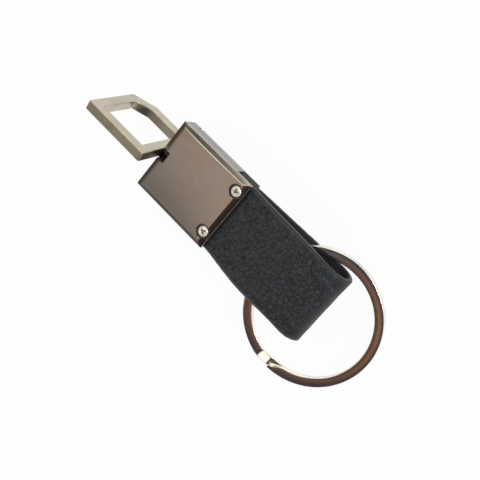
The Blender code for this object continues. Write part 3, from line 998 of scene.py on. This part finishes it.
def strap_sections(strap):
    """(way along, distance beyond the housing, height over the middle, direction) of each section."""
    tab_steps = 6
    flank_steps = 55
    bend_steps = 30
    flank_start = STRAP_SPLIT / 2
    bend = strap.bend_radius - strap.thickness / 2
    reach = strap.loop_length - strap.bend_radius
    start = (STRAP_SPLIT + strap.thickness) / 2
    flank = math.asin(bend / math.hypot(reach, start)) - math.atan2(start, reach)
    flank_end = reach - bend * math.sin(flank)
    upper = [(-strap.tab_length * (1 - step / tab_steps), start, 0.0) for step in range(tab_steps)]
    upper.append((0.0, start, flank / 2))
    for step in range(flank_steps + 1):
        beyond = flank_start + (flank_end - flank_start) * step / flank_steps
        upper.append((beyond, start + beyond * math.tan(flank), flank))
    for step in range(1, bend_steps + 1):
        turn = flank - (math.pi / 2 + flank) * step / bend_steps
        upper.append((reach - bend * math.sin(turn), bend * math.cos(turn), turn))
    lower = [(beyond, -height, math.pi - turn) for beyond, height, turn in reversed(upper[:-1])]
    whole_way = upper + lower
    sections = []
    way = 0.0
    for before, (beyond, height, turn) in zip(whole_way[:1] + whole_way, whole_way):
        way += math.hypot(beyond - before[0], height - before[1])
        sections.append((way, beyond, height, turn))
    return sections


def strap_outline(thickness, edge_round):
    """(across, out) points round the section: outer face, right edge, inner face, left edge."""
    across_steps = 44
    round_steps = 5
    flat = HALF_STRAP - edge_round
    rise = thickness / 2 - edge_round
    points = []
    for side in (1, -1):
        for step in range(across_steps + 1):
            points.append((side * flat * (2 * step / across_steps - 1), side * thickness / 2))
        for quarter, up in enumerate((side * rise, -side * rise)):
            for step in range(1 - quarter, 1 - quarter + round_steps):
                turn = math.pi / 2 * (side - quarter - step / round_steps)
                across = side * flat + edge_round * math.cos(turn)
                points.append((across, up + edge_round * math.sin(turn)))
    return points


def strap_ring(strap, section, outline):
    """The section's points in place, with the bow, the waves and the uneven skin of real leather."""
    lift_pace = (90, 1.7)
    wave_pace = 210
    ripple_pace = (900, 3)
    way, beyond, height, turn = section
    upper = height > 0
    free = smooth(beyond, 0.0, strap.free_length)
    swell = math.sin(math.pi * min(max(beyond / strap.bulge_length, 0), 1)) ** 2
    ripple = free * strap.ripple
    points = []
    for across, out in outline:
        share = across / HALF_STRAP
        spot = Vector((way * lift_pace[0], share * lift_pace[1], 4.0 if upper else 9.0))
        lift = free * strap.lift * noise.noise(spot)
        wave = free * strap.wave * share * share * math.sin(way * wave_pace)
        offset = out + lift + wave * (0.5 if height < 0 else 1.0)
        y = across + strap.bulge * swell * max(share, 0)
        y += ripple * noise.noise(Vector((way * ripple_pace[0], share * ripple_pace[1], 1.0)))
        x = LEATHER_END - beyond + offset * math.sin(turn)
        points.append((x, y, MID_HEIGHT + height + offset * math.cos(turn)))
    return points


def strap_mesh(strap):
    """The strap's skin through all its sections, with the map that its leather follows."""
    sections = strap_sections(strap)
    outline = strap_outline(strap.thickness, strap.edge_round)
    ways = [section[0] for section in sections]
    rounds = [strap.edge_round - HALF_STRAP]
    for before, after in zip(outline, outline[1:] + outline[:1]):
        rounds.append(rounds[-1] + math.dist(before, after))
    made = bmesh.new()
    layer = made.loops.layers.uv.new(STRAP_MAP)
    rings = [
        [made.verts.new(point) for point in strap_ring(strap, section, outline)]
        for section in sections
    ]
    for row, (first, second) in enumerate(zip(rings, rings[1:])):
        for step in range(len(outline)):
            after = (step + 1) % len(outline)
            face = made.faces.new((first[step], first[after], second[after], second[step]))
            corners = ((row, step), (row, step + 1), (row + 1, step + 1), (row + 1, step))
            for loop, (along, around) in zip(face.loops, corners):
                loop[layer].uv = (ways[along], rounds[around])
    for ring, way in ((rings[0], ways[0]), (rings[-1], ways[-1])):
        face = made.faces.new(ring)
        for loop, (_, out) in zip(face.loops, outline):
            loop[layer].uv = (way + out, HALF_STRAP + strap.edge_round)
    bmesh.ops.recalc_face_normals(made, faces=made.faces)
    return made


class KEYCHAIN_OT_strap(Operator):
    """Makes the leather strap: one strip folded into a loop."""

    bl_idname = "keychain.strap"
    bl_label = "Leather Strap"

    def execute(self, context):
        strap = context.scene.keychain_strap
        obj = object_from("leather_loop", strap_mesh(strap))
        holes = [rod("Z", place, -OVERRUN, FACE_HEIGHT, strap.hole_radius, 40) for place in screw_places()]
        join_or_cut(obj, [("DIFFERENCE", hole) for hole in holes])
        hide = leather(strap)
        finish_piece(obj, hide, "housing", "black_leather", "leather_strap", weighted=False)
        return {"FINISHED"}


# Hook and swivel


def hook_outline(hook, inset):
    """The hook's five corners, lying flat, drawn in by the inset on every side."""
    near = HOOK_END + FIT_GAP + inset
    far = HOOK_END + FIT_GAP + hook.reach - inset
    square_side = hook.square_side - inset
    cut_side = hook.cut_side - inset
    slant = math.hypot(hook.cut_length, hook.cut_width)
    ends = hook.cut_length + hook.cut_width
    share = 1 - inset * (ends - slant) / (hook.cut_length * hook.cut_width)
    return [
        (near, -cut_side),
        (far - share * hook.cut_length, -cut_side),
        (far, -cut_side + share * hook.cut_width),
        (far, square_side),
        (near, square_side),
    ]


def swivel_matrix(hook):
    return Matrix.Translation(SWIVEL_POINT) @ Matrix.Rotation(hook.turn, 4, "X")


class KEYCHAIN_OT_hook(Operator):
    """Makes the five-sided frame hook."""

    bl_idname = "keychain.hook"
    bl_label = "Frame Hook"

    def execute(self, context):
        hook = context.scene.keychain_hook
        layers = []
        for inset, height in ((0, -1), (0, 1), (hook.bar, 1), (hook.bar, -1)):
            outline = hook_outline(hook, inset)
            layers.append([(x, y, height * hook.thickness / 2) for x, y in outline])
        obj = object_from("hook_satin", loft(layers, closed=True))
        bevel = obj.modifiers.new("soft edges", "BEVEL")
        bevel.width = hook.edge_round
        bevel.segments = 4
        bevel.limit_method = "ANGLE"
        bevel.angle_limit = SMOOTH_ANGLE
        bake(obj)
        start = HOOK_END + FIT_GAP
        reach = (start - OVERRUN, start + hook.socket_length)
        join_or_cut(obj, [("DIFFERENCE", rod("X", (0, 0, 0), *reach, hook.socket_radius, 40))])
        obj.data.transform(swivel_matrix(hook))
        metal = satin_metal("satin nickel", hook.metal, 0.30)
        finish_piece(obj, metal, "hook", "satin_nickel", "hook_frame")
        return {"FINISHED"}


class KEYCHAIN_OT_stud(Operator):
    """Makes the turned pin that the hook swivels on."""

    bl_idname = "keychain.stud"
    bl_label = "Swivel Stud"

    def execute(self, context):
        hook = context.scene.keychain_hook
        neck = WASHER_START - FIT_GAP
        head = neck - hook.head_thickness
        collar = HOOK_END + hook.collar_gap
        spigot = collar + hook.collar_thickness
        end = HOOK_END + hook.spigot_length
        profile = [
            (head, 0),
            (head, hook.head_radius),
            (neck, hook.head_radius),
            (neck, hook.neck_radius),
            (collar, hook.neck_radius),
            (collar, hook.collar_radius),
            (spigot, hook.collar_radius),
            (spigot, hook.spigot_radius),
            (end, hook.spigot_radius),
            (end, 0),
        ]
        stud = turned(softened(profile, hook.stud_round), "X", (0, 0, 0))
        obj = object_from("stud_turned", stud)
        obj.data.transform(swivel_matrix(hook))
        # Partly painted shade: the stud's near-black colour darkens the notch.
        metal = satin_metal("turned stud steel", hook.stud_shaded_metal, 0.30, grain=(16.0, 0.6, 0.6))
        finish_piece(obj, metal, "hook", "stud_steel", "swivel_stud")
        return {"FINISHED"}


class KEYCHAIN_OT_washer(Operator):
    """Gives the thrust washer its finish."""

    bl_idname = "keychain.washer"
    bl_label = "Thrust Washer"

    def execute(self, context):
        colour = context.scene.keychain_hook.washer_metal
        metal = satin_metal("washer steel", colour, 0.36, grain=(2.0, 2.0, 2.0))
        washer = frame["nodes"]["thrust_washer"]
        washer.data.materials.clear()
        washer.data.materials.append(metal)
        return {"FINISHED"}


# Ring


def wire_section(ring, steps=12, round_steps=5):
    """The flat wire's closed section: wide sides that rise a little in the middle, round edges."""
    half, flat_height = ring.band / 2, ring.wire / 2 - ring.crown
    flat = half - ring.edge_round
    points = []
    for side in (1, -1):
        for step in range(steps + 1):
            across = side * flat * (1 - 2 * step / steps)
            points.append((across, side * (flat_height + ring.crown * (1 - (across / flat) ** 2))))
        for step in range(1, 2 * round_steps):
            turn = math.pi / 2 * (2 - side) + math.pi / 2 * (step / round_steps)
            middle = flat_height - ring.edge_round
            up = middle if math.sin(turn) > 0 else -middle
            u = -side * flat + ring.edge_round * math.cos(turn)
            points.append((u, up + ring.edge_round * math.sin(turn)))
    made = bmesh.new()
    corners = [made.verts.new((u, v, 0)) for u, v in points]
    for first, second in zip(corners, corners[1:] + corners[:1]):
        made.edges.new((first, second))
    return made


def ring_tree(values):
    """Winds the section: one turn above, a short slanted crossing, and one turn below."""
    tree, graph, wires = geometry_tree("two turns of wire", values)
    row = graph.node("GeometryNodeMeshLine", {"mode": "OFFSET"}, {"Count": wires["Points"]})
    path = graph.node("GeometryNodeMeshToCurve", None, {"Mesh": row})
    wound = graph.node("GeometryNodeInputIndex") * wires["Step"]
    turn = wound + wires["Start"]
    drop = graph.step(wound, wires["Drop start"], wires["Drop end"])
    sockets = {
        0: turn.cosine() * wires["Middle radius"],
        1: turn.sine() * wires["Middle radius"],
        2: wires["Level"] * (1 - 2 * drop),
    }
    spot = graph.node("ShaderNodeCombineXYZ", None, sockets)
    laid = graph.node("GeometryNodeSetPosition", None, {"Geometry": path, "Position": spot})
    level = graph.node("GeometryNodeSetCurveNormal", {"mode": "Z_UP"}, {"Curve": laid})
    section = graph.node("GeometryNodeMeshToCurve", None, {"Mesh": wires["Geometry"]})
    sockets = {"Curve": level, "Profile Curve": section, "Fill Caps": True}
    swept = graph.node("GeometryNodeCurveToMesh", None, sockets)
    end_tree(graph, swept, wires["Metal"])
    return tree


def ground_ends(mesh, ring):
    """Rounds both ends of the wire, and grinds its inner edge away towards the upper end."""
    made = bmesh.new()
    made.from_mesh(mesh)
    bmesh.ops.remove_doubles(made, verts=made.verts, dist=MERGE_DISTANCE)
    bmesh.ops.recalc_face_normals(made, faces=made.faces)
    # Only the two end caps have more than four corners
    caps = [face for face in made.faces if len(face.verts) > 4]
    edges = list({edge for face in caps for edge in face.edges})
    rounding = {"offset": ring.edge_round, "segments": 2, "profile": 0.5, "affect": "EDGES"}
    bmesh.ops.bevel(made, geom=edges, **rounding)
    start = ring.crossing_start + ring.crossing_sweep
    margin = 0.02
    for vert in made.verts:
        wound = math.atan2(vert.co.y, vert.co.x) - start
        if vert.co.z > 0 and -margin < wound < ring.end_taper:
            left = 1 - smooth(wound, 0.0, ring.end_taper)
            radius = math.hypot(vert.co.x, vert.co.y)
            narrow = (ring.radius - radius) * (1 - ring.end_width / ring.band) * left
            vert.co.xy *= (radius + narrow) / radius
    made.to_mesh(mesh)
    made.free()


class KEYCHAIN_OT_ring(Operator):
    """Makes the split key ring."""

    bl_idname = "keychain.ring"
    bl_label = "Key Ring"

    def execute(self, context):
        ring = context.scene.keychain_ring
        metal = plated_metal("ring nickel", ring.metal, 0.13)
        step = 2 * math.pi / ring.steps
        total = 4 * math.pi - ring.crossing_sweep - ring.lower_end
        values = {
            "Middle radius": ring.radius - ring.band / 2,
            "Level": (ring.wire + ring.gap) / 2,
            "Start": ring.crossing_start + ring.crossing_sweep,
            "Step": step,
            "Points": round(total / step) + 1,
            "Drop start": 2 * math.pi - ring.crossing_sweep,
            "Drop end": 2 * math.pi,
            "Metal": metal,
        }
        obj = object_from("key_ring_wire", wire_section(ring))
        run_tree(obj, ring_tree(values), values)
        ground_ends(obj.data, ring)
        side = Vector((0, 1, 0)).cross(RING_AXIS).normalized()
        place = Matrix((side, RING_AXIS.cross(side), RING_AXIS)).transposed().to_4x4()
        obj.data.transform(Matrix.Translation(RING_CENTRE) @ place)
        finish_piece(obj, metal, "ring", "ring_nickel", "split_ring")
        return {"FINISHED"}


# Stage


CAMERA_RIGHT = Vector((-0.6821, -0.6151, -0.3955)).normalized()
CAMERA_UP = Vector((0.6907, -0.7195, -0.0724)).normalized()


def ray_kinds(graph):
    """Whether a ray is the camera's, a reflected one or one through clear matter."""
    rays = graph.node("ShaderNodeLightPath").socket.node
    kinds = ("Is Camera Ray", "Is Glossy Ray", "Is Transmission Ray")
    return [Wire(graph, rays.outputs[kind]) for kind in kinds]


def studio_world(level):
    """White for the camera, even soft light on the object, and a studio for its gloss."""
    world = bpy.data.worlds.new("studio")
    world.use_nodes = True
    graph = Graph(world.node_tree)
    direction = graph.node("ShaderNodeTexCoord", None, None, "Generated")
    x, y, up = graph.split(direction)

    def patch(centre, inner, outer):
        way = tuple(Vector(centre).normalized())
        facing = graph.vector("DOT_PRODUCT", direction, way, out="Value")
        return graph.step(facing, math.cos(math.radians(outer)), math.cos(math.radians(inner)))

    def band(value, start, full, fading, end):
        return graph.step(value, start, full) * (1 - graph.step(value, fading, end))

    over_face = band(x, 0.10, 0.20, 0.50, 0.62)
    over_slope = band(x, 0.10, 0.20, 0.285, 0.335)
    room = (0.15, 0.125, 0.10)
    # What each stretch of the gloss reflects, each painted over the ones before
    for mask, shade in (
        (graph.step(y, 0.68, 0.92), (0.26, 0.24, 0.21)),
        (graph.step(0 - y, 0.25, 0.60), (0.25, 0.23, 0.205)),
        (patch((0.32, 0.60, 0.73), 8, 14), (0.72, 0.68, 0.62)),
        (patch((0.34, 0.31, 0.89), 7, 34), (0.48, 0.425, 0.37)),
        (over_face * band(y, 0.27, 0.36, 0.40, 0.55), (0.28, 0.26, 0.245)),
        (graph.step(0 - x, -0.20, -0.10), (0.043, 0.036, 0.043)),
        (patch((-0.10, 0.29, 0.95), 8, 11), (0.057, 0.028, 0.024)),
        (patch((0.21, 0.275, 0.94), 2, 8), (0.95, 0.74, 0.60)),
        (patch((0.33, 0.235, 0.915), 1, 7), (0.85, 0.68, 0.56)),
        (over_face * band(y, 0.10, 0.14, 0.22, 0.25), (0.14, 0.12, 0.10)),
        (over_face * band(y, -0.16, -0.11, 0.10, 0.14), (2.0, 1.9, 1.7)),
        (over_face * band(y, -0.50, -0.45, -0.16, -0.11), (0.17, 0.16, 0.13)),
        (over_slope * band(y, -0.50, -0.45, -0.16, -0.11), (0.50, 0.48, 0.37)),
        (band(x, 0.05, 0.12, 0.268, 0.285) * band(y, -0.50, -0.45, -0.05, 0.05), (1.6, 1.55, 1.2)),
        (over_face * graph.step(0 - y, 0.45, 0.52), (1.5, 1.42, 1.28)),
        (patch((-0.17, 0.245, 0.954), 1, 6), (0.24, 0.12, 0.068)),
        (patch((-0.03, 0.335, 0.94), 1, 4), (0.12, 0.055, 0.036)),
        (patch((-0.06, 0.20, 0.978), 1, 4), (0.11, 0.10, 0.10)),
        (patch((-0.09, 0.37, 0.925), 1, 3), (0.05, 0.05, 0.04)),
        (patch((-0.66, 0.46, 0.60), 10, 17), (1.15, 1.10, 1.02)),
        (graph.step(0 - x, 0.05, 0.30) * graph.step(0 - y, 0.05, 0.30), (0.70, 0.68, 0.65)),
        (1 - graph.step(up, -0.03, 0.01), (0.9, 0.9, 0.9)),
    ):
        room = graph.mix(mask, room, shade)
    camera, glossy, clear = ray_kinds(graph)
    colour = graph.mix(glossy, (level, level, level), room)
    colour = graph.mix(camera.most(clear), colour, (1, 1, 1))
    background = graph.node("ShaderNodeBackground", None, {"Color": colour, "Strength": 1.0})
    graph.node("ShaderNodeOutputWorld", None, {"Surface": background})
    bpy.context.scene.world = world


def floor_material(colour):
    """Plain pale floor: white to the camera and in reflections, with the object's soft shadow."""
    made = bpy.data.materials.new("pale floor")
    made.use_nodes = True
    graph = Graph(made.node_tree)
    camera, glossy, clear = ray_kinds(graph)
    share = 0.93 * camera.most(glossy).most(clear)
    matt = graph.node("ShaderNodeBsdfDiffuse", None, {"Color": (*colour, 1)})
    white = graph.node("ShaderNodeEmission", None, {"Color": (1, 1, 1, 1), "Strength": 1.0})
    both = graph.node("ShaderNodeMixShader", None, {0: share, 1: matt, 2: white})
    graph.node("ShaderNodeOutputMaterial", None, {"Surface": both})
    return made


def soft_lamp(stage):
    """A soft box that faces the middle of the object."""
    data = bpy.data.lights.new("key", "AREA")
    data.shape = "RECTANGLE"
    data.size = stage.lamp_length
    data.size_y = stage.lamp_width
    data.energy = stage.lamp_power
    lamp = bpy.data.objects.new("key", data)
    bpy.context.scene.collection.objects.link(lamp)
    way = Vector(stage.lamp_way).normalized()
    place = Vector(stage.lamp_target) + way * stage.lamp_distance
    lamp.matrix_world = Matrix.Translation(place) @ way.to_track_quat("Z", "X").to_matrix().to_4x4()


def floor_under(stage):
    """A large flat floor, just under the lowest point of the object."""
    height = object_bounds()[0].z - stage.floor_gap
    half = stage.floor_half
    made = bmesh.new()
    corners = ((-half, -half), (half, -half), (half, half), (-half, half))
    made.faces.new([made.verts.new((x, y, height)) for x, y in corners])
    floor = object_from("floor", made)
    floor.data.materials.append(floor_material(stage.floor_colour))
    floor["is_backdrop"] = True


def photo_camera(stage):
    """The camera, where the photograph was taken from."""
    data = bpy.data.cameras.new("camera")
    data.lens = stage.lens
    data.sensor_width = stage.sensor
    data.clip_start = 0.01
    data.clip_end = 10
    camera = bpy.data.objects.new("camera", data)
    bpy.context.scene.collection.objects.link(camera)
    turn = Matrix((CAMERA_RIGHT, CAMERA_UP, CAMERA_RIGHT.cross(CAMERA_UP))).transposed()
    camera.matrix_world = Matrix.Translation(stage.camera_place) @ turn.to_4x4()
    bpy.context.scene.camera = camera


class KEYCHAIN_OT_stage(Operator):
    """Makes the floor, the soft light and the camera."""

    bl_idname = "keychain.stage"
    bl_label = "Stage"

    def execute(self, context):
        stage = context.scene.keychain_stage
        context.scene.view_settings.view_transform = "Standard"
        floor_under(stage)
        studio_world(stage.light)
        soft_lamp(stage)
        photo_camera(stage)
        return {"FINISHED"}


OPERATORS = (
    KEYCHAIN_OT_cover,
    KEYCHAIN_OT_tray,
    KEYCHAIN_OT_screws,
    KEYCHAIN_OT_strap,
    KEYCHAIN_OT_hook,
    KEYCHAIN_OT_stud,
    KEYCHAIN_OT_washer,
    KEYCHAIN_OT_ring,
    KEYCHAIN_OT_stage,
)


class KEYCHAIN_PT_pieces(Panel):
    """Lists the keychain's pieces and their sizes."""

    bl_label = "Leather Keychain"
    bl_idname = "KEYCHAIN_PT_pieces"
    bl_space_type = "VIEW_3D"
    bl_region_type = "UI"
    bl_category = "Keychain"

    def draw(self, context):
        for made in OPERATORS:
            self.layout.operator(made.bl_idname)
        for name, group in SETTINGS.items():
            box = self.layout.box()
            for label in group.__annotations__:
                shown = label.replace("_", " ").capitalize()
                box.prop(getattr(context.scene, name), label, text=shown)


CLASSES = (*SETTINGS.values(), *OPERATORS, KEYCHAIN_PT_pieces)


def register():
    for made in CLASSES:
        bpy.utils.register_class(made)
    for name, group in SETTINGS.items():
        setattr(bpy.types.Scene, name, PointerProperty(type=group))


def unregister():
    for name in SETTINGS:
        delattr(bpy.types.Scene, name)
    for made in reversed(CLASSES):
        bpy.utils.unregister_class(made)


def main():
    register()
    for made in OPERATORS:
        group, name = made.bl_idname.split(".")
        getattr(getattr(bpy.ops, group), name)()


if __name__ == "__main__":
    main()
